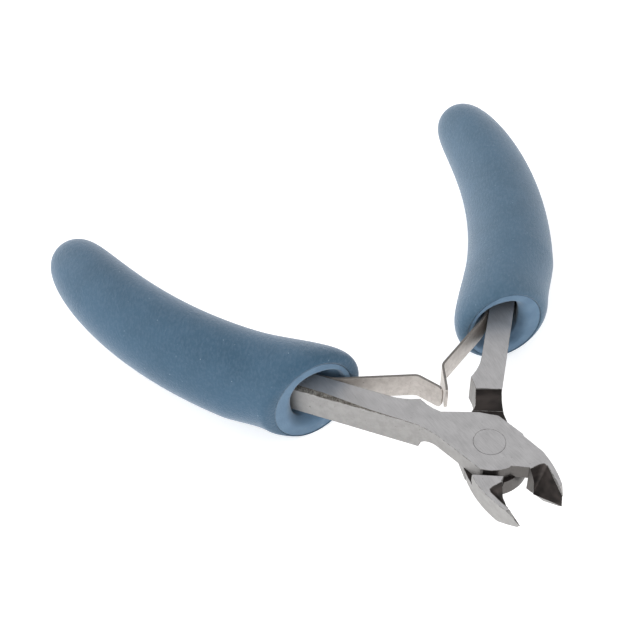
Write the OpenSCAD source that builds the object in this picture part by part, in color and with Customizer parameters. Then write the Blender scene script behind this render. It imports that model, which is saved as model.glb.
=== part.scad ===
// Diagonal cutting pliers: two forged halves that cross in a lap joint, a flush pivot rivet,
// two bent leaf springs and two cushion grips.
// The origin is on the pivot axis, in the plane of the joint's underside. The jaws point to -Y,
// the handles to +Y, and the tool stands open, as its springs hold it.
// One half is drawn with the tool closed and its handle on the -X side; the other is its mirror
// image. open_half() then turns each of them out to the open position.

/* [Opening] */
// Angle of each half from the centre line when the springs hold the tool open
half_open = 14.7; // [9:0.1:18]

/* [Steel halves] */
// Thickness of the jaws, of the closed joint and of the handles
steel_t = 6.35; // [5.2:0.05:7.8]
// Width across the lap joint
joint_w = 12; // [10:0.1:14.5]
// Radius of the joint's round front, about the pivot
joint_r = 6.7; // [6.1:0.05:7.2]
// Radius of the lower half's round front at its underside, which sticks out from under the joint
lower_front_r = 7.8; // [7.2:0.05:8]
// Pivot to the point where the handles' full thickness starts, along the centre line
shoulder_y = 11.7; // [10.4:0.1:14.2]
// Radius of the scoop between the shoulder and the lap face
scoop_r = 3.4; // [2.6:0.1:4.2]
// Angle of the bare handles from the centre line when the tool is closed
handle_angle = 25.4; // [22:0.1:29]
// Width of the bare handles where they enter the grips
tang_w = 4.9; // [4:0.1:6]
// Length of the handles past the shoulder, most of it inside the grips
tang_len = 48; // [40:0.5:58]
// Width of the unground forged edge on the upper half, where it enters the grip
forged_edge_w = 1.1; // [0.6:0.1:2.4]

/* [Jaws] */
// Pivot to the tip of the jaws
jaw_len = 18.2; // [15:0.1:21]
// Width of one jaw where its nose starts
jaw_w = 5.5; // [4.6:0.1:6.6]
// Distance of the throat's wall from the centre line
throat_x = 0.8; // [0.5:0.05:1.2]
// Radius of the curve between the joint's round front and the throat
throat_r = 2.5; // [2:0.1:3]
// Length of the cutting edges
edge_len = 6.8; // [5.4:0.1:7.6]
// Width of the ground strip that is left outside the bevels
strip_w = 1.25; // [0.8:0.05:1.6]
// Radius of the nose's outer side, seen from above
nose_r = 22; // [18:0.5:27]
// How much narrower the nose is at its underside
nose_taper = 1; // [0:0.05:1.2]

/* [Pivot] */
// Diameter of the rivet's flush head
pivot_head_d = 6; // [5:0.1:7.2]
// Thickness of the rivet's head
pivot_head_t = 1; // [0.7:0.05:1.4]
// Diameter of the rivet's shank
pivot_d = 4.4; // [3.6:0.1:5]

/* [Springs] */
// Thickness of the spring strip
leaf_t = 0.5; // [0.4:0.05:0.6]
// Width of the spring strip
leaf_w = 5.9; // [4.8:0.1:6.2]
// Distance of each strip's bend from the centre line, tool open
leaf_bend_x = 2.9; // [2.4:0.1:3.5]
// Distance of the bends from the pivot
leaf_bend_y = 20.9; // [19:0.1:23]
// Distance of the strips' ends from the pivot
leaf_tip_y = 15.5; // [14.4:0.1:17]
// How far the right strip's end reaches past the left one's
leaf_overrun = 0.9; // [0:0.1:1.2]
// Shoulder to the line where a strip leaves the handle
leaf_root_s = 20; // [18:0.1:22]
// Length of the clamped end of a strip
leaf_clamp_len = 7.6; // [6:0.1:9]
// Diameter of the rivets that hold the strips
leaf_rivet_d = 1.8; // [1.5:0.1:2.2]

/* [Grips] */
// Radius of a grip where its front flare ends
grip_r = 9.62; // [8.6:0.02:11.6]
// Radius of the left grip's flared front
front_r_left = 10.5; // [9.6:0.1:11.2]
// Radius of the right grip's flared front
front_r_right = 10; // [9.6:0.1:11.2]
// Radius of a grip's round end
butt_r = 5.88; // [5:0.01:7]
// Thickness of the soft cover
cover_t = 2.2; // [1.6:0.1:2.6]
// Pivot to the middle of the left grip's front face, along the centre line
front_y_left = 32.2; // [30:0.1:33.5]
// Pivot to the middle of the right grip's front face, along the centre line
front_y_right = 30.4; // [30:0.1:33.5]
// Pivot to the middle of a grip's round end, along the centre line
grip_end_y = 94.5; // [85:0.5:114]
// Angle of the left front face from square to the centre line
front_tilt_left = -13; // [-16:0.5:6]
// Angle of the right front face from square to the centre line
front_tilt_right = -2; // [-16:0.5:6]
// Height of the mouth that the handle and the spring come out of
mouth_h = 11.4; // [9.6:0.1:12.4]
// Depth of the mouth
mouth_depth = 10; // [9:0.1:12]

/* [Clearances] */
// Gap between the two lap faces
lap_gap = 0.03; // [0.02:0.005:0.06]
// Gap around the rivet in the half that turns on it
pivot_gap = 0.03; // [0.02:0.005:0.06]
// Gap left between the closed cutting edges
edge_gap = 0.02; // [0.01:0.005:0.05]
// Room between the joint's round front and the other half's jaw
jaw_relief = 1.1; // [0.8:0.05:1.5]
// Gap around a handle in its grip
socket_gap = 0.05; // [0.02:0.01:0.15]
// Gap between the two springs' ends
tip_gap = 0.05; // [0.02:0.01:0.1]
// Gap between a spring and the piece that it swings past
leaf_gap = 0.05; // [0.02:0.01:0.1]

/* [Hidden] */

steel = "#A8A6A8";
dark_steel = "#8C8888";
spring_steel = "#B9B4AC";
core_blue = "#6B87A0";
cover_blue = "#556B82";

$fn = 96;
half_t = steel_t / 2;
past = 1;                                   // how far a cutter reaches past the surface it opens
left = -1;
right = 1;

// Handle: its outer edge starts at the shoulder's outer corner
shoulder_x = joint_w / 2 + 0.6;
tang_dir = [-sin(handle_angle), cos(handle_angle)];
tang_in = [cos(handle_angle), sin(handle_angle)];   // square to the handle, to its inner side
function on_tang(across, along) =
    [-shoulder_x, shoulder_y] + across * tang_in + along * tang_dir;
shoulder_angle = 17;                        // of the shoulder's line from square to the centre line
knee = [tang_w + 1.45, 2];                  // inner corner of the neck, across and along
knee_point = on_tang(knee[0], knee[1]);
neck_in = [[-1.8, shoulder_y + 2.7], [-1.65, shoulder_y + 1.1], [-1.2, shoulder_y - 0.4]];
flare_r = 12;                               // of the curve from the knee to the parallel handle
flare_s = knee[1] + sqrt(2 * flare_r * (knee[0] - tang_w) - pow(knee[0] - tang_w, 2));
ear = [[joint_w / 2 - 2.05, 6.2], [joint_w / 2, 2.9]];

// Throat: a curve that touches the joint's round front and the throat's wall
throat_c = [throat_x - throat_r, -sqrt(pow(joint_r + throat_r, 2) - pow(throat_x - throat_r, 2))];
throat_touch = throat_c * joint_r / (joint_r + throat_r);
edge_y = max(jaw_len - edge_len, 1.4 - throat_c[1]);    // where the cutting edge starts
edge_run = jaw_len - edge_y;
jaw_back_angle = 18;
under_relief = lower_front_r - joint_r + jaw_relief;  // room under the upper half's jaw
flank_draft = 6.3;                          // lean of the joint's flanks, in degrees
nose_top = [[jaw_w, -(jaw_len - 9.9)], [strip_w / 8, -jaw_len]];
nose_mid = (nose_top[0] + nose_top[1]) / 2;
nose_chord = nose_top[0] - nose_top[1];
nose_c = nose_mid + sqrt(pow(nose_r / norm(nose_chord), 2) - 1 / 4) * [-nose_chord[1], nose_chord[0]];

// Cutting edge: it climbs from the throat to the tip
edge_z0 = -0.63 * half_t;
edge_z1 = 0.24 * half_t;
edge_in = edge_gap / 2;
edge_land = 0.05;                           // flat left on the cutting edge
edge_on = edge_in + 0.02;
function edge_z(along) = edge_z0 + (edge_z1 - edge_z0) * along / edge_run;
nose_fall = 2.6;                            // length over which the nose's top comes down to the tip
nose_rise = 5;                              // length over which its underside comes up

// Where the springs leave the handles, tool closed, and the same point with the tool open
leaf_root = on_tang(tang_w + leaf_t / 2 + leaf_gap, leaf_root_s);
function opened(p) = [p[0] * cos(half_open) - p[1] * sin(half_open),
                      p[0] * sin(half_open) + p[1] * cos(half_open)];

// Grip: its middle line is a cubic curve, its radius falls along it
function front_tilt(side) = side == left ? front_tilt_left : front_tilt_right;
function front_r(side) = side == left ? front_r_left : front_r_right;
function front_y(side) = side == left ? front_y_left : front_y_right;
function grip_front(side) = [-0.458 * front_y(side), front_y(side)];
grip_x0 = -16.2;
grip_k = (grip_end_y - 36.7) / 57.8;
grip_line = [[grip_x0, 36.7], [grip_x0 - 15.1, 36.7 + 28.4 * grip_k],
             [grip_x0 - 10.45, 36.7 + 53.1 * grip_k], [grip_x0 - 9.64, grip_end_y]];
sides = 28;
front_rings = 9;
line_rings = 13;
front_share = 0.12;                         // share of the middle line that the front takes
rim_share = 0.32;                           // share of the front that its rounded rim takes
dome_rings = 5;
core_end = 0.9;                             // share of the middle line that the core reaches
lip = 0.45;                                 // width of the cover's lip around the core's face
recess = 0.3;                               // depth of the core's face behind the lip
dish_d = 15;                                // diameter of the dish in the core's face
dish_depth = 1.4;
dish_r = (pow(dish_d / 2, 2) + pow(dish_depth, 2)) / (2 * dish_depth);

function bezier(p, t) = pow(1 - t, 3) * p[0] + 3 * pow(1 - t, 2) * t * p[1]
    + 3 * (1 - t) * t * t * p[2] + pow(t, 3) * p[3];
function bezier_dir(p, t) = pow(1 - t, 2) * (p[1] - p[0]) + 2 * (1 - t) * t * (p[2] - p[1])
    + t * t * (p[3] - p[2]);
function grip_radius(t) = grip_r + (butt_r - grip_r) * (0.96 * t - 0.9 * t * t + 0.94 * pow(t, 3));
function turn_of(v) = atan2(-v[0], v[1]);

// A ring is [middle, turn from square to the centre line, half width, half height]
function front_ring(side, f, inset) = let (
    body = line_ring(front_share, 0),
    turn = front_tilt(side) + f * (body[1] - front_tilt(side)),
    full = front_r(side) + f * (body[2] - front_r(side)),
    h = sin(90 * min(1, f / rim_share)))
    [pow(1 - f, 2) * grip_front(side) + 2 * f * (1 - f) * grip_line[0] + f * f * body[0], turn,
     0.85 * front_r(side) * (1 - h) + full / cos(body[1] - turn) * h - inset,
     0.93 * front_r(side) * (1 - h) + full * h - inset];
// How fast the radius falls along the middle line
function grip_slope(t) = (grip_radius(t - 0.005) - grip_radius(t + 0.005))
    / (0.01 * 3 * norm(bezier_dir(grip_line, t)));
function line_ring(t, inset) = let (v = bezier_dir(grip_line, t), d = v / norm(v),
                                    r = grip_radius(t), w = grip_slope(t), c = sqrt(1 - w * w))
    [bezier(grip_line, t) + w * r * d, turn_of(v), r * c - inset, r * c - inset];
function dome_ring(a) = let (v = bezier_dir(grip_line, 1), d = v / norm(v))
    [grip_line[3] + butt_r * sin(a) * d, turn_of(v), butt_r * cos(a), butt_r * cos(a)];
butt_start = asin(grip_slope(1));
function line_share(i, end) = front_share + (end - front_share) * i / line_rings;
function ring_points(r) = [for (i = [0:sides - 1]) let (a = 360 * i / sides)
    [r[0][0] + r[2] * cos(a) * cos(r[1]), r[0][1] + r[2] * cos(a) * sin(r[1]), r[3] * sin(a)]];

// A closed tube over a list of rings
module rings_solid(rings) {
    n = len(rings);
    points = [for (r = rings) each ring_points(r)];
    walls = [for (k = [0:n - 2], i = [0:sides - 1]) let (j = (i + 1) % sides)
        [k * sides + i, k * sides + j, (k + 1) * sides + j, (k + 1) * sides + i]];
    caps = [[for (i = [sides - 1:-1:0]) i], [for (i = [0:sides - 1]) (n - 1) * sides + i]];
    polyhedron(points, concat(walls, caps), convexity = 6);
}

// The convex solid over a few corners
module corners(points) {
    hull() polyhedron(points, [[for (i = [0:len(points) - 1]) i]]);
}

// Turns a half, drawn closed with its handle on the -X side, to its side and out to open
module open_half(side) {
    translate([0, 0, half_t]) rotate(-side * half_open)
        if (side == right) mirror([1, 0, 0]) children();
        else children();
}

// +Y along the handle from the shoulder's outer corner, +X to its inner side
module along_handle() {
    translate([-shoulder_x, shoulder_y]) rotate(handle_angle) children();
}

// A flat piece of the full thickness
module slab() {
    translate([0, 0, -half_t]) linear_extrude(steel_t, convexity = 8) children();
}

// One half before any of its faces is cut
module half_blank() {
    // joint, with its round front
    slab() intersection() {
        circle(joint_r);
        translate([-joint_w / 2, -joint_r]) square([joint_w, 2 * joint_r]);
    }
    // neck and jaw
    slab() polygon([[-joint_w / 2, 0], [-joint_w / 2, shoulder_y - 3.7], [-shoulder_x, shoulder_y],
                    on_tang(0, knee[1]), knee_point, neck_in[0], neck_in[1], neck_in[2],
                    ear[0], ear[1], [jaw_w, nose_top[0][1]], [jaw_w, -jaw_len],
                    [edge_in, -jaw_len], [edge_in, -edge_y],
                    [throat_x, -edge_y + 0.8], [throat_x, throat_c[1]], throat_touch, [0, 0]]);
    // curve into the throat
    slab() difference() {
        polygon([[0, 0], throat_touch, [throat_c[0] + 0.1, throat_c[1]], [throat_x, throat_c[1]],
                 [throat_x + past, throat_c[1]], [throat_x + past, 0]]);
        translate(throat_c) circle(throat_r);
    }
    // handle, with the curve from the knee
    along_handle() {
        slab() difference() {
            polygon([[0, 0], [0, flare_s], [tang_w, flare_s], knee, [knee[0] - 1, 0.2]]);
            translate([tang_w + flare_r, flare_s]) circle(flare_r);
        }
        slab() translate([0, flare_s - past]) square([tang_w, tang_len - flare_s + past]);
    }
}

// Clears the layer that the other half's joint lies in; layer is 1 when this half's joint is
// the upper one
module lap_zone(layer) {
    mirror([0, 0, layer > 0 ? 1 : 0]) {
        room = joint_w;
        relief = joint_r + (layer > 0 ? under_relief : jaw_relief);
        // from the jaw's back to the start of the scoop
        translate([0, 0, -lap_gap / 2])
            linear_extrude(half_t + past)
                intersection() {
                    rotate(jaw_back_angle)
                        translate([-room, -relief]) square([2 * room, 3 * room]);
                    translate([-shoulder_x, shoulder_y]) rotate(shoulder_angle)
                        translate([-room, -3 * room - 0.9 * scoop_r]) square([3 * room, 3 * room]);
                }
        // the scoop up to the shoulder
        translate([-shoulder_x, shoulder_y, scoop_r - lap_gap / 2]) rotate(shoulder_angle)
            translate([-room, -scoop_r, 0]) rotate([0, 90, 0]) cylinder(r = scoop_r, h = 3 * room);
        translate([-shoulder_x, shoulder_y, scoop_r - lap_gap / 2]) rotate(shoulder_angle)
            translate([-room, -2 * scoop_r, 0]) cube([3 * room, 2 * scoop_r, half_t]);
    }
}

// Bevel that falls from the ground top face to the cutting edge
module jaw_bevel() {
    far = -past;
    top = half_t + past;
    rim = [[throat_x - 0.02, throat_c[1] - 0.25], [jaw_w - strip_w - 1.4, -edge_y + 1.5],
           [jaw_w - strip_w - 0.75, -edge_y + 1.1], [jaw_w - strip_w - 0.7, -edge_y + 0.4],
           [jaw_w - strip_w - 1.15, -edge_y - 0.3], [1.5, -jaw_len + 3.5], [0.2, -jaw_len + 0.3]];
    corners(concat([for (p = rim) [p[0], p[1], half_t]], [for (p = rim) [p[0], p[1], top]],
                   [for (x = [edge_on, far]) each [[x, -edge_y + 0.1, edge_z(-0.1)],
                                                  [x, -jaw_len - past, edge_z(edge_run + past)]]],
                   [
                    [far, throat_c[1] - 0.25, half_t], [far, -jaw_len - past, half_t],
                    [far, throat_c[1] - 0.25, top], [far, -jaw_len - past, top]]));
}

// Relief under the cutting edge
module edge_relief() {
    foot = 0.9;
    start = edge_z(-past) - edge_land;
    end = edge_z(edge_run + past) - edge_land;
    corners([[edge_on, -edge_y + past, start], [edge_on, -jaw_len - past, end],
             [-past, -edge_y + past, start], [-past, -jaw_len - past, end],
             for (x = [foot, -past], z = [-half_t, -half_t - past], y = [edge_y - past, jaw_len + past])
                 [x, -y, z]]);
}

// Nose, ground up towards the tip below and down to it above
module nose_ramps() {
    rise = half_t + edge_z1 - 0.4;
    fall = half_t - edge_z1 - 0.3;
    far = 2 * jaw_w;
    translate([-past, -jaw_len + nose_rise, -half_t]) rotate([-atan(rise / nose_rise), 0, 0])
        translate([0, -far, -far]) cube(far);
    translate([-past, -jaw_len + nose_fall, half_t]) rotate([atan(fall / nose_fall), 0, 0])
        translate([0, -far, 0]) cube(far);
}

// Flank of the joint on the jaw's side, which leans in towards the underside
module flank() {
    translate([joint_w / 2, 0, half_t]) rotate([0, flank_draft, 0])
        translate([0, -jaw_len, -3 * half_t]) cube([joint_w, jaw_len + ear[0][1], 4 * half_t]);
}

// Outside of the nose, round and slightly narrower below
module nose_side() {
    difference() {
        translate([0, -jaw_len - past, -half_t - past])
            cube([jaw_w + 2 * past, jaw_len - 2.9 + past, steel_t + 2 * past]);
        translate([nose_c[0], nose_c[1], -half_t])
            cylinder(r1 = nose_r - nose_taper, r2 = nose_r, h = steel_t, $fn = 180);
        translate([nose_c[0], nose_c[1], half_t - 0.001]) cylinder(r = nose_r, h = 2 * past, $fn = 180);
        translate([nose_c[0], nose_c[1], -half_t - 2 * past])
            cylinder(r = nose_r - nose_taper, h = 2 * past + 0.001, $fn = 180);
    }
}

module blank_half(layer) {
    difference() {
        half_blank();
        lap_zone(layer);
        nose_side();
        nose_ramps();
        flank();
        jaw_bevel();
        edge_relief();
        along_handle() spring_rivet_place() cylinder(d = leaf_rivet_d, h = tang_w - 1, $fn = 48);
    }
}

// Origin on the handle's inner face under the spring's rivet, +Z into the handle
module spring_rivet_place() {
    translate([tang_w, leaf_root_s + leaf_clamp_len * 0.6]) rotate([0, -90, 0]) children();
}

// Sloping cut along the handle's outer top edge: stations are [along, width]
module forged_edge(stations) {
    slope = 1 / 3;
    corners([for (e = stations)
        each [[-past, e[0], half_t - slope * (e[1] + past)],
              [e[1] + past / slope, e[0], half_t + past], [-past, e[0], half_t + past]]]);
}

module upper_half() {
    color(steel) open_half(left) difference() {
        blank_half(1);
        translate([0, 0, -past]) cylinder(d = pivot_d + 2 * pivot_gap, h = half_t + 2 * past);
        translate([0, 0, half_t - pivot_head_t - pivot_gap])
            cylinder(d = pivot_head_d + 2 * pivot_gap, h = pivot_head_t + past);
        // unground forged edge, which widens towards the grip
        along_handle() {
            forged_edge([[1, 0], [leaf_root_s / 2 + past, 0.3 * forged_edge_w]]);
            forged_edge([[leaf_root_s / 2 - past, 0.2 * forged_edge_w],
                         [leaf_root_s, forged_edge_w], [tang_len + past, forged_edge_w]]);
        }
    }
}

// Round front of the lower half, under the upper one, slightly narrower at its top
module lower_front() {
    draft = 0.4;
    translate([0, 0, -half_t]) intersection() {
        cylinder(r1 = lower_front_r, r2 = lower_front_r - draft, h = half_t - lap_gap / 2, $fn = 120);
        translate([-joint_w / 2, -lower_front_r, 0])
            cube([joint_w / 2 + throat_x + 1, lower_front_r, half_t]);
    }
}

module lower_half() {
    color(steel) open_half(right) difference() {
        union() {
            blank_half(-1);
            lower_front();
        }
        translate([0, 0, -half_t - past]) cylinder(d = pivot_d, h = half_t + 2 * past);
        translate([0, 0, -half_t - 0.001])
            cylinder(d1 = pivot_head_d, d2 = pivot_d, h = pivot_head_t);
    }
}

// Flush rivet: fixed in the lower half, a running fit in the upper one
module pivot_rivet() {
    color(dark_steel) translate([0, 0, half_t]) {
        translate([0, 0, -half_t]) cylinder(d = pivot_d, h = steel_t);
        translate([0, 0, half_t - pivot_head_t]) cylinder(d = pivot_head_d, h = pivot_head_t);
        translate([0, 0, -half_t]) cylinder(d1 = pivot_head_d, d2 = pivot_d, h = pivot_head_t);
    }
}

// Free part of a spring, from the handle to the bend and on to the other spring
module leaf_spring(side) {
    root = opened(leaf_root);
    bend = [-leaf_bend_x, leaf_bend_y];
    reach = side == right ? leaf_overrun : 0;
    tip = [-(leaf_t + tip_gap) / 2 - 0.12, leaf_tip_y];
    way = (tip - bend) / norm(tip - bend);
    path = [root, bend, tip + reach * way];
    color(spring_steel) translate([0, 0, half_t - leaf_w / 2])
        mirror([side == right ? 1 : 0, 0, 0]) linear_extrude(leaf_w) {
            for (i = [0:1]) {
                v = path[i + 1] - path[i];
                translate(path[i]) rotate(atan2(v[1], v[0]))
                    translate([0, -leaf_t / 2]) square([norm(v), leaf_t]);
            }
            for (i = [0:1]) translate(path[i]) circle(d = leaf_t, $fn = 32);
        }
}

// Clamped end of the same strip, flat on the handle inside the grip
module spring_clamp(side) {
    start = leaf_t / 2 + leaf_gap;
    color(spring_steel) open_half(side) along_handle() difference() {
        translate([tang_w, leaf_root_s + start, -leaf_w / 2])
            cube([leaf_t, leaf_clamp_len, leaf_w]);
        spring_rivet_place() translate([0, 0, -leaf_t - past])
            cylinder(d = leaf_rivet_d, h = leaf_t + 2 * past, $fn = 48);
    }
}

module spring_rivet(side) {
    head_t = 0.5;
    color(dark_steel) open_half(side) along_handle() spring_rivet_place() {
        translate([0, 0, -leaf_t]) cylinder(d = leaf_rivet_d, h = leaf_t + tang_w - 1, $fn = 48);
        translate([0, 0, -leaf_t - head_t]) cylinder(d = 1.7 * leaf_rivet_d, h = head_t, $fn = 48);
    }
}

// Core's outer surface, with its front carried past the cover's lip
module grip_core_shape(side) {
    face = front_ring(side, 0, lip);
    ahead = past * [sin(front_tilt(side)), -cos(front_tilt(side))];
    rings_solid([[face[0] + ahead, face[1], face[2], face[3]],
                 for (i = [0:front_rings - 1])
                     front_ring(side, i / front_rings, lip + (cover_t - lip) * min(1, i / 3)),
                 for (i = [0:line_rings]) line_ring(line_share(i, core_end), cover_t)]);
}

module grip_core(side) {
    front = grip_front(side);
    color(core_blue) open_half(side) difference() {
        grip_core_shape(side);
        // face, set back behind the cover's lip
        translate([front[0], front[1], 0]) rotate(front_tilt(side))
            translate([-2 * grip_r, recess - 2 * past, -2 * grip_r])
                cube([4 * grip_r, 2 * past, 4 * grip_r]);
        translate([front[0], front[1], 0]) rotate(front_tilt(side))
            translate([0, recess + dish_depth - dish_r, 0]) sphere(r = dish_r, $fn = 120);
        along_handle() {
            // socket for the handle
            translate([-socket_gap, 0, -half_t - socket_gap])
                cube([tang_w + 2 * socket_gap, tang_len, steel_t + 2 * socket_gap]);
            mouth_room();
        }
    }
}

// Room for the spring and its rivet beside the handle
module mouth_room() {
    w = tang_w + 4;
    translate([tang_w / 2 + 1.2, leaf_root_s + mouth_depth, 0]) rotate([90, 0, 0])
        linear_extrude(2 * mouth_depth) {
            for (s = [-1, 1]) translate([0, s * (mouth_h - w) / 2]) circle(d = w, $fn = 64);
            square([w, mouth_h - w], center = true);
        }
}

module grip_cover(side) {
    rings = [for (i = [0:front_rings - 1]) front_ring(side, i / front_rings, 0),
             for (i = [0:line_rings]) line_ring(line_share(i, 1), 0),
             for (i = [1:dome_rings]) dome_ring(butt_start + (84 - butt_start) * i / dome_rings)];
    color(cover_blue) open_half(side) difference() {
        rings_solid(rings);
        grip_core_shape(side);
    }
}

lower_half();
upper_half();
pivot_rivet();
leaf_spring(left);  // leaf_spring_left
leaf_spring(right);  // leaf_spring_right
spring_clamp(left);  // spring_clamp_left
spring_clamp(right);  // spring_clamp_right
spring_rivet(left);  // spring_rivet_left
spring_rivet(right);  // spring_rivet_right
grip_core(left);  // grip_core_left
grip_core(right);  // grip_core_right
grip_cover(left);  // grip_cover_left
grip_cover(right);  // grip_cover_right
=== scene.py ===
"""Looks of the diagonal cutting pliers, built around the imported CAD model, in metres."""

import math

import bmesh
import bpy
import numpy as np
from mathutils import Matrix, Vector


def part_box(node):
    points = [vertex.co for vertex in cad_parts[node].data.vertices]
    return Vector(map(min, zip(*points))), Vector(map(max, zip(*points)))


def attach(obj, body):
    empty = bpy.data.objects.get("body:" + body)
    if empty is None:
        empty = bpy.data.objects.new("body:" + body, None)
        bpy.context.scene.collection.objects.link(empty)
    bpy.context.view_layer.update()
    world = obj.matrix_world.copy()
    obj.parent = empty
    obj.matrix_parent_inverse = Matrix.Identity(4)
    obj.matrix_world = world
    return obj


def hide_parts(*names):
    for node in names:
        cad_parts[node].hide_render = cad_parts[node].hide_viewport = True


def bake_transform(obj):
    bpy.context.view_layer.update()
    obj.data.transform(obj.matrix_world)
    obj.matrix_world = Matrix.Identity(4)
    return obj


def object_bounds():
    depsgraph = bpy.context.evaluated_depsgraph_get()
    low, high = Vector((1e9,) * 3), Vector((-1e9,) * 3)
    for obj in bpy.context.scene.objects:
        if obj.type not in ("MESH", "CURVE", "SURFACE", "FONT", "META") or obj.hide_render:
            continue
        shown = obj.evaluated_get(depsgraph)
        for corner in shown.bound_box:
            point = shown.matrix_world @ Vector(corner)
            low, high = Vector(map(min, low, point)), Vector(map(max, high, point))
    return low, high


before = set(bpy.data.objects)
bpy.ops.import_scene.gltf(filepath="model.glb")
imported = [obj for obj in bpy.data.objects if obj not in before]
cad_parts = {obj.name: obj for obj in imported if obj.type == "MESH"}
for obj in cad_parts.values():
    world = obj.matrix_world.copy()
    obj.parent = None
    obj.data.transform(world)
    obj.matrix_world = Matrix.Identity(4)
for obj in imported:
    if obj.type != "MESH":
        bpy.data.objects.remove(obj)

cad_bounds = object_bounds()

# ---------------------------------------------------------------------------
# Camera. It stands in front of the jaws and to their left, about 26 cm away,
# and looks down at the open tool.
# ---------------------------------------------------------------------------
MM = 0.001
camera_place = Vector((-100.374, -121.048, 200.738)) * MM
camera_right = Vector((0.87829, -0.47808, -0.00679))
camera_up = Vector((0.34962, 0.63248, 0.69118))
camera = bpy.data.objects.new("camera", bpy.data.cameras.new("camera"))
camera.data.sensor_width, camera.data.lens = 36.0, 74.51
camera.data.clip_start, camera.data.clip_end = 0.01, 20.0
turn = Matrix((camera_right, camera_up, camera_right.cross(camera_up))).transposed()
camera.matrix_world = Matrix.Translation(camera_place) @ turn.to_4x4()
bpy.context.collection.objects.link(camera)
bpy.context.scene.camera = camera
bpy.context.scene.view_settings.view_transform = "Standard"

# ---------------------------------------------------------------------------
# Light. A white tent: even light from all round, a little less from straight
# above, and large soft panels to the left, to the right and behind.
# ---------------------------------------------------------------------------
light_below, light_above = 1.15, 0.52
world = bpy.data.worlds.new("tent")
world.use_nodes = True
bpy.context.scene.world = world
tent = world.node_tree.nodes["Background"]
tent.inputs["Color"].default_value = (1.0, 1.0, 1.0, 1.0)
direction = world.node_tree.nodes.new("ShaderNodeTexCoord")
height = world.node_tree.nodes.new("ShaderNodeSeparateXYZ")
fall = world.node_tree.nodes.new("ShaderNodeMapRange")
for socket, value in (("From Min", 0.05), ("From Max", 0.95), ("To Min", light_below),
                      ("To Max", light_above)):
    fall.inputs[socket].default_value = value
world.node_tree.links.new(direction.outputs["Generated"], height.inputs[0])
world.node_tree.links.new(height.outputs["Z"], fall.inputs["Value"])
world.node_tree.links.new(fall.outputs["Result"], tent.inputs["Strength"])


def soft_panel(name, place, aim, size, watts):
    """A square area light at place that looks at aim."""
    lamp = bpy.data.lights.new(name, "AREA")
    lamp.shape = "SQUARE"
    lamp.size = size
    lamp.energy = watts
    panel = bpy.data.objects.new(name, lamp)
    panel.location = place
    panel.rotation_euler = (Vector(aim) - Vector(place)).to_track_quat("-Z", "Y").to_euler()
    bpy.context.collection.objects.link(panel)


soft_panel("panel_left", (-0.55, -0.15, 0.35), (0, 0.03, 0), 0.5, 2.2)
soft_panel("panel_right", (0.55, -0.25, 0.45), (0, 0.03, 0), 0.5, 1.6)
soft_panel("panel_back", (-0.35, 0.75, 0.35), (0, 0.06, 0), 0.6, 3.4)

# ---------------------------------------------------------------------------
# Floor. A pale matt sheet that the tool lies on. Its material, like all that
# follow, is a Finish: one node tree, whose sockets are Wires, so that shader
# maths reads as arithmetic.
# ---------------------------------------------------------------------------
floor_half = 3.0


class Wire:
    """A socket. An operator on it adds a Math node."""

    def __init__(self, finish, socket):
        self.finish, self.socket = finish, socket

    def maths(self, operation, *values):
        return self.finish.node("ShaderNodeMath", {"operation": operation}, *values)

    def __add__(self, other):
        return self.maths("ADD", self, other)

    def __sub__(self, other):
        return self.maths("SUBTRACT", self, other)

    def __rsub__(self, other):
        return self.maths("SUBTRACT", other, self)

    def __mul__(self, other):
        return self.maths("MULTIPLY", self, other)

    __radd__, __rmul__ = __add__, __mul__


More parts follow.
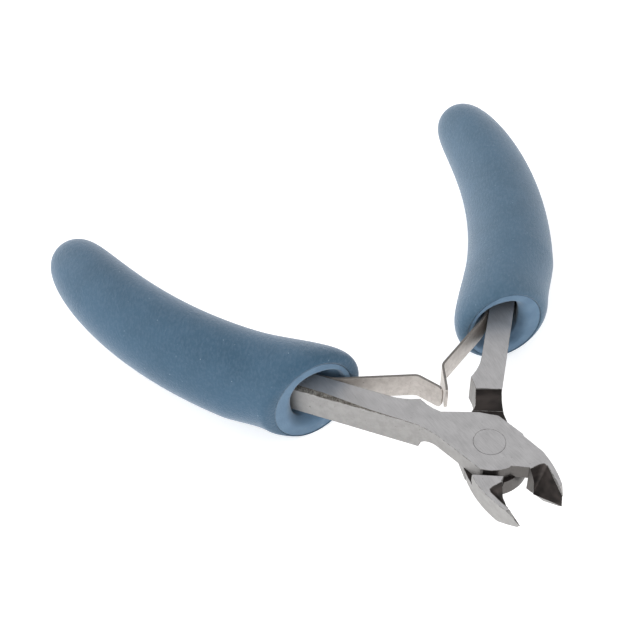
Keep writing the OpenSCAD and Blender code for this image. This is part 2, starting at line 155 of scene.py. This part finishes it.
class Finish:
    """A Principled material: its sockets set by name, and nodes added to feed them."""

    def __init__(self, name, colour, roughness, metallic=0.0, **others):
        self.material = bpy.data.materials.new(name)
        self.material.use_nodes = True
        self.tree = self.material.node_tree
        self.shader = self.tree.nodes["Principled BSDF"]
        self.set("Base Color", (*colour, 1.0))
        self.set("Roughness", roughness)
        self.set("Metallic", metallic)
        for socket, value in others.items():
            self.set(socket.replace("_", " "), value)
        self.place = self.node("ShaderNodeTexCoord", out="Object")

    def set(self, socket, value):
        """Gives one of the shader's sockets a number, a colour or a wire."""
        if isinstance(value, Wire):
            self.tree.links.new(value.socket, self.shader.inputs[socket])
        else:
            self.shader.inputs[socket].default_value = value

    def node(self, kind, settings=None, *values, out=0, **named):
        """A node of any kind: its settings first, then its sockets, by order or by name. None
        leaves a socket as it is. The answer is the node's output out."""
        made = self.tree.nodes.new(kind)
        for key, value in (settings or {}).items():
            setattr(made, key, value)
        for key, value in [*enumerate(values), *named.items()]:
            if isinstance(value, Wire):
                self.tree.links.new(value.socket, made.inputs[key])
            elif value is not None:
                made.inputs[key].default_value = value
        return Wire(self, made.outputs[out])

    def noise(self, size, detail=2.0, stretch=(1, 1, 1), turned=(0, 0, 0), roughness=0.5):
        """Noise, 0 to 1, with blotches about size metres across, stretched along an axis."""
        where = self.place
        if stretch != (1, 1, 1) or turned != (0, 0, 0):
            where = self.node("ShaderNodeVectorRotate", {"rotation_type": "EULER_XYZ"},
                              Vector=self.place, Rotation=turned)
            where = self.node("ShaderNodeVectorMath", {"operation": "MULTIPLY"}, where,
                              tuple(1 / s for s in stretch))
        return self.node("ShaderNodeTexNoise", {"noise_dimensions": "3D"}, Vector=where,
                         Scale=1 / size, Detail=detail, Roughness=roughness)

    def between(self, wire, low, high):
        """0 where wire is under low, 1 where it is over high, smooth between them."""
        return self.node("ShaderNodeMapRange", {"interpolation_type": "SMOOTHSTEP"},
                         wire, low, high)

    def mix(self, share, one, other):
        """The colour one, going to the colour other as share goes from 0 to 1."""
        one, other = ((*c, 1.0) if isinstance(c, tuple) else c for c in (one, other))
        not_colours = [None] * 5
        return self.node("ShaderNodeMix", {"data_type": "RGBA"}, share, *not_colours,
                         one, other, out=2)

    def bump(self, height, depth):
        """Raises the surface by height, 0 to 1, times depth in metres."""
        self.set("Normal", self.node("ShaderNodeBump", Height=height, Distance=depth))


paper = Finish("paper", (0.86, 0.86, 0.86), 0.9)
paper.set("Emission Color", (1.0, 1.0, 1.0, 1.0))
paper.set("Emission Strength", 0.46)
floor_mesh = bpy.data.meshes.new("floor")
floor_mesh.from_pydata([(x * floor_half, y * floor_half, cad_bounds[0].z)
                        for x, y in ((-1, -1), (1, -1), (1, 1), (-1, 1))], [], [(0, 1, 2, 3)])
floor_mesh.materials.append(paper.material)
floor = bpy.data.objects.new("floor", floor_mesh)
bpy.context.collection.objects.link(floor)

# ---------------------------------------------------------------------------
# Steel halves. Drop-forged steel, ground flat on both faces, with painted shade
# in the pockets, scoop, bevels and throat, and the sharp edges broken by tumbling.
# ---------------------------------------------------------------------------
edge_break, line_margin = 0.07 * MM, 0.2 * MM
half_open = math.radians(14.7)
plate_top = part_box("upper_half")[1].z
lap_z = plate_top / 2
ground_shade = (0.50, 0.493, 0.50)
# along Y from the pivot: the shoulder's scoop, the cutting bevel, the nose and the throat
scoop_start, scoop_end = 3 * MM, 13.5 * MM
bevel_back, nose_back = -8 * MM, -12 * MM
throat_back, throat_front, throat_half_w = -3 * MM, -12.5 * MM, 4.6 * MM
edge_back = -9 * MM
# height of a face's unit normal from which it counts as leaning, as steep and as flat
leaning_from, steep_from, flat_from = 0.12, 0.3, 0.99


def ground_steel(name, shade, lines_turned):
    """Satin ground face: fine lines one way, faint blotches, and a few dark pits."""
    f = Finish(name, (0.5, 0.5, 0.5), 0.4, 0.85)
    lines = f.noise(0.07 * MM, 2.0, stretch=(1, 30, 1), turned=(0, 0, lines_turned))
    fine = f.noise(0.04 * MM, 1.0, stretch=(1, 60, 1), turned=(0, 0, lines_turned + 0.12))
    cloud = f.noise(3 * MM, 3.0)
    pits = f.between(f.noise(0.32 * MM, 1.0), 0.73, 0.8)
    tone = 0.5 * lines + 0.3 * cloud + 0.2 * fine
    dark = tuple(0.85 * c for c in shade)
    light = tuple(1.11 * c for c in shade)
    colour = f.mix(f.between(tone, 0.35, 0.65), dark, light)
    f.set("Base Color", f.mix(0.5 * pits, colour, (0.06, 0.05, 0.045)))
    f.set("Roughness", 0.34 + 0.2 * lines + 0.25 * pits)
    f.bump(0.6 * lines + 0.4 * fine - 0.8 * pits, 0.006 * MM)
    return f.material


def forged_side():
    """Tumbled side of the forging: softer, a little warmer, with pits and stains."""
    f = Finish("tumbled_side", (0.5, 0.5, 0.5), 0.45, 0.8)
    grain = f.noise(0.22 * MM, 3.0)
    stain = f.noise(1.6 * MM, 4.0, roughness=0.6)
    pits = f.between(f.noise(0.45 * MM, 2.0), 0.68, 0.76)
    colour = f.mix(f.between(stain, 0.3, 0.7), (0.295, 0.288, 0.282), (0.345, 0.338, 0.332))
    f.set("Base Color", f.mix(0.55 * pits, colour, (0.10, 0.085, 0.07)))
    f.set("Roughness", 0.4 + 0.2 * grain + 0.2 * pits)
    f.bump(0.7 * grain - pits, 0.02 * MM)
    return f.material


def painted_pocket_shade():
    """Painted shade for the pockets, the scoop, the cutting bevels and the nose: dark and
    brownish, with soft lighter bands of painted light.
    """
    f = Finish("painted_pocket_shade", (0.1, 0.1, 0.1), 0.5, 0.75)
    band = f.noise(2.2 * MM, 1.0, stretch=(5, 1, 0.6))
    grain = f.noise(0.15 * MM, 3.0)
    # painted shade: a very dark base colour for the shade in these recesses, with lighter bands
    # painted as light across the scoop
    f.set("Base Color", f.mix(f.between(0.8 * band + 0.2 * grain, 0.35, 0.7),
                              (0.022, 0.019, 0.018), (0.052, 0.043, 0.040)))
    f.set("Roughness", 0.42 + 0.2 * grain)
    f.bump(grain, 0.01 * MM)
    return f.material


def shaded_throat_steel():
    """Wall of the throat: milled, painted a grey far darker than the ground steel as shade
    inside the throat, smooth enough to show soft bands of light.
    """
    f = Finish("shaded_throat_steel", (0.1, 0.1, 0.1), 0.3, 0.9)
    grain = f.noise(0.12 * MM, 2.0, stretch=(1, 1, 10))
    # painted shade: these greys stand for the shade inside the throat, not for the milled
    # steel's own colour
    f.set("Base Color", f.mix(grain, (0.085, 0.079, 0.075), (0.135, 0.127, 0.121)))
    f.set("Roughness", 0.26 + 0.2 * grain)
    f.bump(grain, 0.006 * MM)
    return f.material


def raw_forging():
    """Unground skin of the forging: dark oxide speckled with bright steel."""
    f = Finish("raw_forging", (0.2, 0.19, 0.17), 0.6, 0.6)
    grain = f.noise(0.3 * MM, 5.0, roughness=0.75)
    patch = f.noise(1.1 * MM, 3.0)
    share = f.between(0.7 * grain + 0.3 * patch, 0.42, 0.62)
    f.set("Base Color", f.mix(share, (0.075, 0.068, 0.058), (0.27, 0.255, 0.23)))
    f.set("Roughness", 0.65 - 0.2 * share)
    f.bump(grain, 0.09 * MM)
    return f.material


def broken_edge():
    """Edge worn by tumbling, dull in places."""
    f = Finish("broken_edge", (0.3, 0.3, 0.3), 0.4, 0.85)
    grain = f.noise(0.7 * MM, 3.0)
    f.set("Base Color", f.mix(f.between(grain, 0.4, 0.62),
                              (0.15, 0.145, 0.14), (0.36, 0.355, 0.35)))
    f.set("Roughness", 0.35 + 0.2 * grain)
    return f.material


side_finish, pocket_shade_finish = forged_side(), painted_pocket_shade()
raw_finish, edge_finish, throat_finish = raw_forging(), broken_edge(), shaded_throat_steel()
GROUND, SIDE, POCKET, RAW, THROAT, EDGE = range(6)


def finish_of(face, jaw_side):
    """The finish of a face, by where it looks and lies: ground where it is flat and outermost,
    painted dark shade where it is flat or leans in the scoop, on the cutting bevel or on the
    nose, raw where it leans on the handle, milled with painted shade in the throat and tumbled
    anywhere else."""
    n, c = face.normal, face.calc_center_median()
    flat = abs(n.z) > flat_from
    leaning = leaning_from < abs(n.z) <= flat_from
    if flat and min(abs(c.z), abs(c.z - plate_top)) < 0.1 * MM:
        return GROUND
    if flat or (leaning and scoop_start < c.y < scoop_end):
        return POCKET
    if leaning and c.y > scoop_end:
        return RAW
    outward = n.x * jaw_side
    if abs(n.z) > steep_from and c.y < bevel_back and (c.y > nose_back or outward < -0.3):
        return POCKET
    if abs(c.x) < throat_half_w and throat_front < c.y < throat_back and outward < 0.3:
        return THROAT
    return SIDE


def is_broken(edge, jaw_side):
    """Whether tumbling has broken an edge: it has on outer corners of more than 30 degrees,
    but not between dark or milled faces, and not on the line where the two jaws meet."""
    kinds = {face.material_index for face in edge.link_faces}
    c, s = math.cos(half_open), math.sin(half_open)
    from_line = max(abs(jaw_side * vert.co.x * c + vert.co.y * s) for vert in edge.verts)
    cutting = from_line < line_margin and edge.verts[0].co.y < edge_back
    return (edge.is_convex and edge.calc_face_angle() > math.radians(30) and not cutting
            and not kinds <= {POCKET, THROAT})


def steel_half(node, ground, jaw_side):
    """A copy of the CAD half with its doubles merged, its flat faces joined, each face given
    its finish, and its edges broken by a small bevel. It rides the body of the same name."""
    work = bmesh.new()
    work.from_mesh(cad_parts[node].data)
    bmesh.ops.remove_doubles(work, verts=work.verts, dist=0.002 * MM)
    bmesh.ops.dissolve_degenerate(work, edges=work.edges, dist=0.004 * MM)
    bmesh.ops.dissolve_limit(work, angle_limit=math.radians(0.6), verts=work.verts,
                             edges=work.edges)
    for face in work.faces:
        face.material_index = finish_of(face, jaw_side)
        face.smooth = True
    broken = work.edges.layers.float.new("bevel_weight_edge")
    for edge in work.edges:
        edge[broken] = float(is_broken(edge, jaw_side))
    mesh = bpy.data.meshes.new(node + "_steel")
    work.to_mesh(mesh)
    work.free()
    for finish in (ground, side_finish, pocket_shade_finish, raw_finish, throat_finish, edge_finish):
        mesh.materials.append(finish)
    mesh.set_sharp_from_angle(angle=math.radians(28))
    piece = bpy.data.objects.new(node + "_steel", mesh)
    bpy.context.collection.objects.link(piece)
    bevel = piece.modifiers.new("broken_edges", "BEVEL")
    bevel.width = edge_break
    bevel.segments = 2
    bevel.limit_method = "WEIGHT"
    bevel.use_clamp_overlap = False
    bevel.harden_normals = True
    bevel.material = EDGE
    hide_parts(node)
    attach(piece, node)


steel_half("lower_half", ground_steel("ground_steel_lower", ground_shade, 0.1), -1)
steel_half("upper_half", ground_steel("ground_steel_upper", ground_shade, -0.12), 1)

# ---------------------------------------------------------------------------
# Rivets. Steel, the pivot's peened over and ground flush with the joint, so
# that only a hairline shows where its head ends, and two small ones that hold
# the springs inside the grips.
# ---------------------------------------------------------------------------
rivet_finish = ground_steel("ground_rivet", (0.49, 0.483, 0.49), -0.12)
for node in ("pivot_rivet", "spring_rivet_left", "spring_rivet_right"):
    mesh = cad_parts[node].data
    mesh.materials.clear()
    mesh.materials.append(rivet_finish)

# ---------------------------------------------------------------------------
# Leaf springs. Each is one strip of spring steel, riveted to its handle inside
# the grip, bent away from it and bent again where the two strips press together.
# ---------------------------------------------------------------------------
strip_t, strip_w = 0.5 * MM, 5.9 * MM
strip_corner, end_round = 0.09 * MM, 1.0 * MM
handle_w = 4.9 * MM
handle_lean = math.radians(25.4)
shoulder = np.array([-6.6, 11.7]) * MM
along_handle = np.array([-math.sin(handle_lean), math.cos(handle_lean)])
across_handle = np.array([math.cos(handle_lean), math.sin(handle_lean)])
# how far along the handle the strip is clamped and leaves it, and where it bends and ends
clamp_at, root_at = 27.8 * MM, 20 * MM
strip_bend = np.array([-2.9, 20.9]) * MM
strip_tip = np.array([-0.395, 15.5]) * MM
root_bow, bend_bow, path_step = 2.6 * MM, 0.75 * MM, 0.35 * MM
flex_reach = 1.6 * MM
side_names = {-1: "left", 1: "right"}


def opened(points, side):
    """Points drawn for the closed tool's left half, turned by half_open about the pivot, as
    they lie in the open tool, and mirrored for the right side."""
    c, s = math.cos(half_open), math.sin(half_open)
    x, y = points[..., 0], points[..., 1]
    out = points.copy()
    out[..., 0], out[..., 1] = -side * (x * c - y * s), x * s + y * c
    return out


def on_handle(across, along):
    """A point of the closed tool's left handle, from its outer shoulder corner."""
    return shoulder + across * across_handle + along * along_handle


def rounded_path(corners, radii, step):
    """A line through corners in which each inner corner is a quadratic curve that starts and
    ends its radius away from it, with a point about every step."""
    path = [corners[0]]
    for before, corner, after, radius in zip(corners, corners[1:], corners[2:], radii):
        a = corner + (before - corner) / np.linalg.norm(before - corner) * radius
        b = corner + (after - corner) / np.linalg.norm(after - corner) * radius
        t = np.linspace(0, 1, 13)[:, None]
        path += list((1 - t) ** 2 * a + 2 * t * (1 - t) * corner + t * t * b)
    path.append(corners[-1])
    path = np.array(path)
    far = np.concatenate([[0], np.cumsum(np.linalg.norm(np.diff(path, axis=0), axis=1))])
    even = np.unique(np.concatenate([np.linspace(0, far[-1], int(far[-1] / step)), far]))
    even = even[np.concatenate([[True], np.diff(even) > 0.02 * MM])]
    return np.stack([np.interp(even, far, path[:, i]) for i in (0, 1)], 1), even


def closed_mesh(name, points, faces, finish):
    """A smooth piece from points and faces, with its faces turned outwards."""
    mesh = bpy.data.meshes.new(name)
    mesh.from_pydata(points.tolist(), [], faces)
    work = bmesh.new()
    work.from_mesh(mesh)
    bmesh.ops.recalc_face_normals(work, faces=work.faces)
    work.to_mesh(mesh)
    work.free()
    mesh.materials.append(finish)
    mesh.polygons.foreach_set("use_smooth", np.ones(len(mesh.polygons), bool))
    piece = bpy.data.objects.new(name, mesh)
    bpy.context.collection.objects.link(piece)
    return piece


def closed_tube(name, rings, finish):
    """A surface over a grid of rings, rings by points by three, with a fan at each end."""
    n, m = rings.shape[:2]
    k, i = np.meshgrid(np.arange(n - 1), np.arange(m), indexing="ij")
    j = (i + 1) % m
    walls = np.stack([k * m + i, k * m + j, (k + 1) * m + j, (k + 1) * m + i], -1)
    a = np.arange(m)
    b = (a + 1) % m
    start = np.stack([b, a, np.full(m, n * m)], -1)
    end = np.stack([(n - 1) * m + a, (n - 1) * m + b, np.full(m, n * m + 1)], -1)
    middles = rings[[0, -1]].mean(axis=1)
    return closed_mesh(name, np.concatenate([rings.reshape(-1, 3), middles]),
                       walls.reshape(-1, 4).tolist() + start.tolist() + end.tolist(), finish)


def spring_finish():
    """Rolled spring steel: warm pale grey with faint lines across and a few stains."""
    f = Finish("spring_strip", (0.6, 0.58, 0.55), 0.42, 0.75)
    grain = f.noise(0.12 * MM, 2.0, stretch=(1, 1, 14))
    stain = f.noise(1.3 * MM, 4.0, roughness=0.65)
    marks = f.between(f.noise(0.4 * MM, 2.0), 0.66, 0.74)
    colour = f.mix(f.between(stain, 0.3, 0.7), (0.52, 0.48, 0.45), (0.64, 0.60, 0.565))
    f.set("Base Color", f.mix(0.5 * marks, colour, (0.17, 0.14, 0.11)))
    f.set("Roughness", 0.36 + 0.2 * grain)
    f.bump(0.5 * grain - marks, 0.008 * MM)
    return f.material


def sheared_edge():
    """Sheared edge of the strip: darker and rougher than its faces."""
    f = Finish("sheared_edge", (0.2, 0.19, 0.18), 0.55, 0.7)
    grain = f.noise(0.2 * MM, 3.0, stretch=(1, 1, 4))
    f.set("Base Color", f.mix(grain, (0.10, 0.092, 0.085), (0.26, 0.245, 0.23)))
    f.set("Roughness", 0.5 + 0.2 * grain)
    f.bump(grain, 0.02 * MM)
    return f.material


def leaf_spring(side, overrun):
    """A rounded rectangle carried along the strip's line, which narrows to a round end:
    its width falls by 0.4 times the 2.6th power of the share of the end passed."""
    away = handle_w + strip_t / 2
    tip = strip_tip + overrun * (strip_tip - strip_bend) / np.linalg.norm(strip_tip - strip_bend)
    clamp, root = opened(np.array([on_handle(away, clamp_at), on_handle(away, root_at)]), -1)
    path, far = rounded_path([clamp, root, strip_bend, tip], [root_bow, bend_bow], path_step)
    way = np.gradient(path, axis=0)
    way /= np.linalg.norm(way, axis=1)[:, None]
    square = np.stack([-way[:, 1], way[:, 0]], 1)
    near_end = np.clip((far - (far[-1] - end_round)) / end_round, 0, 1)
    width = 1 - 0.4 * near_end**2.6
    a, b, r = strip_t / 2, strip_w / 2, strip_corner
    across = np.array([-a, -a, -a + r, a - r, a, a, a, a - r, -a + r, -a])
    height = np.array([0, b - r, b, b, b - r, 0, -b + r, -b, -b, -b + r])
    rings = np.empty((len(path), len(across), 3))
    rings[..., :2] = path[:, None] + across[:, None] * square[:, None]
    rings[..., 2] = lap_z + height * width[:, None]
    rings[..., 0] *= -side
    name = side_names[side]
    piece = closed_tube("leaf_strip_" + name, rings, strip_finish)
    piece.data.materials.append(sheared_finish)
    normals = np.empty(3 * len(piece.data.polygons))
    piece.data.polygons.foreach_get("normal", normals)
    piece.data.polygons.foreach_set("material_index",
                                    (np.abs(normals[2::3]) > 0.5).astype(np.int32))
    piece.data.set_sharp_from_angle(angle=math.radians(38))
    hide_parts("leaf_spring_" + name, "spring_clamp_" + name)
    leg = (strip_bend - root) / np.linalg.norm(strip_bend - root)
    start, end = root - flex_reach * leg, root + flex_reach * leg
    -side * start[0]
    -side * end[0]
    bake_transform(piece)


strip_finish, sheared_finish = spring_finish(), sheared_edge()
leaf_spring(-1, 0.0)
leaf_spring(1, 0.9 * MM)

# ---------------------------------------------------------------------------
# Grips. A moulded foam core around each handle, and over it a thick soft skin
# with a rounded front, a bend to fit the palm and a round end.
# ---------------------------------------------------------------------------
grip_r, butt_r = 9.62 * MM, 5.88 * MM
skin_t, seam_t = 2.2 * MM, 0.2 * MM
grip_line = np.array([[-16.2, 36.7], [-31.3, 65.1], [-26.65, 89.8], [-25.84, 94.5]]) * MM
# share of the middle line at which the front has passed into the grip's body
front_share = 0.12
ring_points = 160
# mouth of the core around the handle, on the spring's side and on the other, and its dish
spring_room, back_room, mouth_half_h = 2.6 * MM, 0.55 * MM, 5.5 * MM
mouth_power = 2.6
dish_depth = 2.2 * MM
rim_gap, skin_gap = 0.3 * MM, 0.08 * MM
# the mouth's wall from the back to the face: depth and growth in mm
mouth_wall = ((9, -0.2), (7, -0.1), (5, 0.0), (3.6, 0.15), (2.8, 0.35))


def line_at(t):
    """The grip's middle line, a cubic Bezier curve, with a third of its derivative and its
    radius, which goes from grip_r to butt_r as 0.96 t - 0.9 t^2 + 0.94 t^3."""
    t = np.asarray(t, float)[:, None]
    p = grip_line
    place = ((1 - t) ** 3 * p[0] + 3 * (1 - t) ** 2 * t * p[1] + 3 * (1 - t) * t**2 * p[2]
             + t**3 * p[3])
    way = (1 - t) ** 2 * (p[1] - p[0]) + 2 * (1 - t) * t * (p[2] - p[1]) + t**2 * (p[3] - p[2])
    t = t[:, 0]
    radius = grip_r + (butt_r - grip_r) * (0.96 * t - 0.9 * t**2 + 0.94 * t**3)
    return place, way, radius


def narrowing(t):
    """How much the radius falls per length of the middle line, from a small step each way."""
    t, step = np.asarray(t, float), 0.005
    speed = 3 * np.linalg.norm(line_at(t)[1], axis=1)
    return (line_at(t - step)[2] - line_at(t + step)[2]) / (2 * step * speed)


def line_rings(t, inset):
    """Rings of the envelope of spheres along the middle line: each is moved along by its
    radius times the narrowing, and its radius is that times sqrt(1 - narrowing^2). A ring is
    middle x, middle y, turn, half width, half height, drop."""
    place, way, radius = line_at(t)
    slope = narrowing(t)
    across = radius * np.sqrt(1 - slope**2) - inset
    middle = place + (slope * radius / np.linalg.norm(way, axis=1))[:, None] * way
    return np.column_stack([middle, np.arctan2(-way[:, 0], way[:, 1]), across, across,
                            0 * across])


def ovals(rings, side):
    """Points of rings: x and y go by the cosine of the angle along the turned width, z by its
    sine times the height, less the drop."""
    a = np.linspace(0, 2 * np.pi, ring_points, endpoint=False)
    x, y, turned, width, height, drop = (rings[:, i, None] for i in range(6))
    points = np.stack([x + width * np.cos(a) * np.cos(turned),
                       y + width * np.cos(a) * np.sin(turned), height * np.sin(a) - drop], -1)
    points = opened(points, side)
    points[..., 2] += lap_z
    return points


class Front:
    """Front of one grip: where its face is, how it is tilted, and how its rim swells."""

    def __init__(self, place, tilt, radius, seam_width, seam_height, rim, drop, lean):
        self.place, self.tilt = np.array(place) * MM, math.radians(tilt)
        self.radius, self.seam = radius * MM, (seam_width * MM, seam_height * MM)
        self.rim, self.drop, self.lean = rim, drop * MM, np.array(lean) * MM

    def inner(self, f, inset):
        """Rings of the wall between the skin and the core, which leaves the seam squarely and
        reaches the skin's thickness past the rim."""
        f = np.asarray(f, float)
        swell = np.clip(f / self.rim, 0, 1) ** 1.5
        return self.rings(f, swell, seam_t + (skin_t - seam_t) * swell + inset)

    def rings(self, f, swell, inset):
        """Rings from the face, f = 0, to the grip's body, f = 1. swell goes from the seam, 0,
        to the full width, 1. The middle runs along a quadratic curve, and a swollen ring leans
        towards the other handle and up."""
        f, swell = np.asarray(f, float), np.asarray(swell, float)
        body = line_rings(np.array([front_share]), 0)[0]
        middle = ((1 - f) ** 2)[:, None] * self.place \
            + (2 * f * (1 - f))[:, None] * grip_line[0] + (f**2)[:, None] * body[:2]
        turned = self.tilt + f * (body[2] - self.tilt)
        fade = f * f * (3 - 2 * f)
        full = self.radius + fade * (body[3] - self.radius)
        width = self.seam[0] * (1 - swell) + full / np.cos(body[2] - turned) * swell - inset
        height = self.seam[1] * (1 - swell) + full * swell - inset
        lean = (swell * (1 - fade**2))[:, None] * self.lean
        middle = middle + lean[:, :1] * np.stack([np.cos(turned), np.sin(turned)], 1)
        drop = self.drop * (1 - fade) - lean[:, 1]
        return np.column_stack([middle, turned, width, height, drop])


fronts = {
    -1: Front((-14.75, 32.1), -13, 10.1, 8.8, 9.75, 0.34, 0.35, (0.8, 0.9)),
    1: Front((-13.9, 30.3), -2, 9.65, 8.05, 8.9, 0.36, 0.1, (0.85, 0.1)),
}


def skin_finish(name, painted_sheen):
    """Matt soft skin: slate blue, cloudy, with a fine leathery grain, pale specks and more or
    less painted sheen, a share of pale mixed into the colour."""
    f = Finish(name, (0.09, 0.15, 0.22), 0.62, 0.0, Sheen_Weight=0.5, Sheen_Roughness=0.38,
               Specular_IOR_Level=0.4)
    f.set("Sheen Tint", (0.85, 0.90, 1.0, 1.0))
    cloud = f.noise(9 * MM, 3.0)
    grain = f.noise(0.45 * MM, 3.0, stretch=(1, 2.2, 1), turned=(0, 0, 0.6))
    fuzz = f.noise(0.12 * MM, 2.0)
    specks = f.between(f.noise(0.55 * MM, 1.0), 0.77, 0.82)
    colour = f.mix(f.between(cloud, 0.3, 0.7), (0.022, 0.070, 0.121), (0.030, 0.084, 0.143))
    colour = f.mix(0.4 * f.between(grain, 0.4, 0.7), colour, (0.07, 0.125, 0.19))
    pale = (0.36, 0.47, 0.55)
    # painted sheen: the colour goes towards pale by painted_sheen, for the grazing sheen a grip
    # catches
    f.set("Base Color", f.mix(0.5 * specks, f.mix(painted_sheen, colour, pale), pale))
    f.set("Roughness", 0.56 + 0.14 * grain)
    f.bump(0.7 * grain + 0.3 * fuzz, 0.15 * MM)
    return f.material


def core_finish():
    """Foam core: a lighter blue, slightly porous, paler where it is worn."""
    f = Finish("foam_core", (0.13, 0.22, 0.32), 0.7, 0.0, Sheen_Weight=0.2, Sheen_Roughness=0.4,
               Specular_IOR_Level=0.3)
    pores = f.noise(0.35 * MM, 3.0, roughness=0.65)
    cloud = f.noise(3 * MM, 3.0)
    worn = f.between(f.noise(1.7 * MM, 4.0, roughness=0.65), 0.66, 0.76)
    colour = f.mix(f.between(cloud, 0.3, 0.7), (0.095, 0.165, 0.250), (0.120, 0.200, 0.290))
    f.set("Base Color", f.mix(0.4 * worn, colour, (0.33, 0.38, 0.43)))
    f.set("Roughness", 0.66 + 0.15 * pores)
    f.bump(pores, 0.06 * MM)
    return f.material


# the right grip's skin is a paler copy, painted sheen for the light it catches
skins = {-1: skin_finish("soft_skin_left", 0.0), 1: skin_finish("soft_skin_right", 0.06)}
core_material = core_finish()


def dome(radius, lift):
    """Rings of the sphere of a radius at the end of the middle line, at angles of lift above
    its equator."""
    place, way, _ = line_at([1.0])
    ends = np.cos(lift) * radius
    ahead = np.outer(np.sin(lift), way[0] / np.linalg.norm(way[0])) * radius
    turned = np.full(len(lift), math.atan2(-way[0, 0], way[0, 1]))
    return np.column_stack([place[0] + ahead, turned, ends, ends, 0 * ends])


def grip_skin(side, body):
    """One closed surface: up the inner wall, over the rounded lip, along the outside and
    round the end, then back inside to close."""
    front = fronts[side]
    phi = np.linspace(0, np.pi / 2, 22)
    flank = np.linspace(front.rim, 1, 26)[1:-1]
    lowest, pole = math.asin(narrowing([1.0])[0]), np.pi / 2
    shell = np.concatenate([
        dome(butt_r - skin_t, np.linspace(lowest + 0.02, pole - 0.02, 8))[::-1],
        line_rings(np.linspace(front_share + 0.02, 0.99, 24), skin_t)[::-1],
        front.inner(np.array([0.9, 0.6, 0.4, 0.24, 0.12, 0.06, 0.03, 0.015]), 0),
        front.rings(front.rim * (1 - np.cos(phi)), np.sin(phi), 0),
        front.rings(flank, np.ones(len(flank)), 0),
        line_rings(np.linspace(front_share, 1, 90), 0),
        dome(butt_r, np.append(np.linspace(lowest, pole, 24)[1:-1], pole - 0.01))])
    name = side_names[side]
    piece = closed_tube("grip_skin_" + name, ovals(shell, side), skins[side])
    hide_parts("grip_cover_" + name)
    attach(piece, body)


def closed_ring(name, rings, finish):
    """A surface over a grid that closes both ways, like a tyre."""
    n, m = rings.shape[:2]
    k, i = np.meshgrid(np.arange(n), np.arange(m), indexing="ij")
    j, l = (i + 1) % m, (k + 1) % n
    walls = np.stack([k * m + i, k * m + j, l * m + j, l * m + i], -1).reshape(-1, 4)
    return closed_mesh(name, rings.reshape(-1, 3), walls.tolist(), finish)


def grip_core(side, body):
    """One closed ring around the handle: the mouth's wall, the dished face, the outer wall
    under the skin and the back."""
    front = fronts[side]
    a = np.linspace(0, 2 * np.pi, ring_points, endpoint=False)
    cs, sn = np.cos(a), np.sin(a)
    sideways = np.array([math.cos(front.tilt), math.sin(front.tilt)])
    inward = np.array([-math.sin(front.tilt), math.cos(front.tilt)])
    # where the handle's middle line meets the face
    start = on_handle(handle_w / 2, 0)
    middle = start + ((front.place - start) @ inward) / (along_handle @ inward) * along_handle
    room = np.where(cs > 0, spring_room, back_room)
    reach = (handle_w / 2 + room) / math.cos(handle_lean - front.tilt)

    def mouth(grow):
        """The mouth's outline, a squared oval in which |cos|^p + |sin|^p is 1, with p the
        mouth's power, wider on the spring's side."""
        unit = (np.abs(cs) ** mouth_power + np.abs(sn) ** mouth_power) ** (-1 / mouth_power)
        return (reach + grow) * unit * cs, (mouth_half_h + grow) * unit * sn

    def in_face(x, z, depth, way=inward):
        """Points x across the face and z up from its middle, sunk by depth."""
        return np.column_stack([middle + x[:, None] * sideways + depth * way, z])

    rim_x = (front.seam[0] - rim_gap) * cs - (middle - front.place) @ sideways
    rim_z = (front.seam[1] - rim_gap) * sn - front.drop
    rings = []
    for depth, grow in mouth_wall:
        rings.append(in_face(*mouth(grow * MM), depth * MM, along_handle))
    mouth_x, mouth_z = mouth(mouth_wall[-1][1] * MM)
    mouth_x = mouth_x + dish_depth * along_handle @ sideways
    for share in np.concatenate([np.linspace(0.03, 0.3, 8), np.linspace(0.36, 0.97, 14)]):
        depth = 0.1 * MM + dish_depth * np.clip(1 - share / 0.55, 0, 1) ** 2.2
        rings.append(in_face((1 - share) * mouth_x + share * rim_x,
                             (1 - share) * mouth_z + share * rim_z, depth))
    for x, y, turned, width, height, drop in front.inner(
            np.array([0.012, 0.02, 0.04, 0.08, 0.14, 0.24, 0.4, 0.55]), skin_gap):
        rings.append(np.column_stack([x + width * cs * math.cos(turned),
                                      y + width * cs * math.sin(turned), height * sn - drop]))
    rings = opened(np.array(rings), side)
    rings[..., 2] += lap_z
    name = side_names[side]
    piece = closed_ring("grip_foam_" + name, rings, core_material)
    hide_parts("grip_core_" + name)
    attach(piece, body)


for side, body in ((-1, "upper_half"), (1, "lower_half")):
    grip_skin(side, body)
    grip_core(side, body)
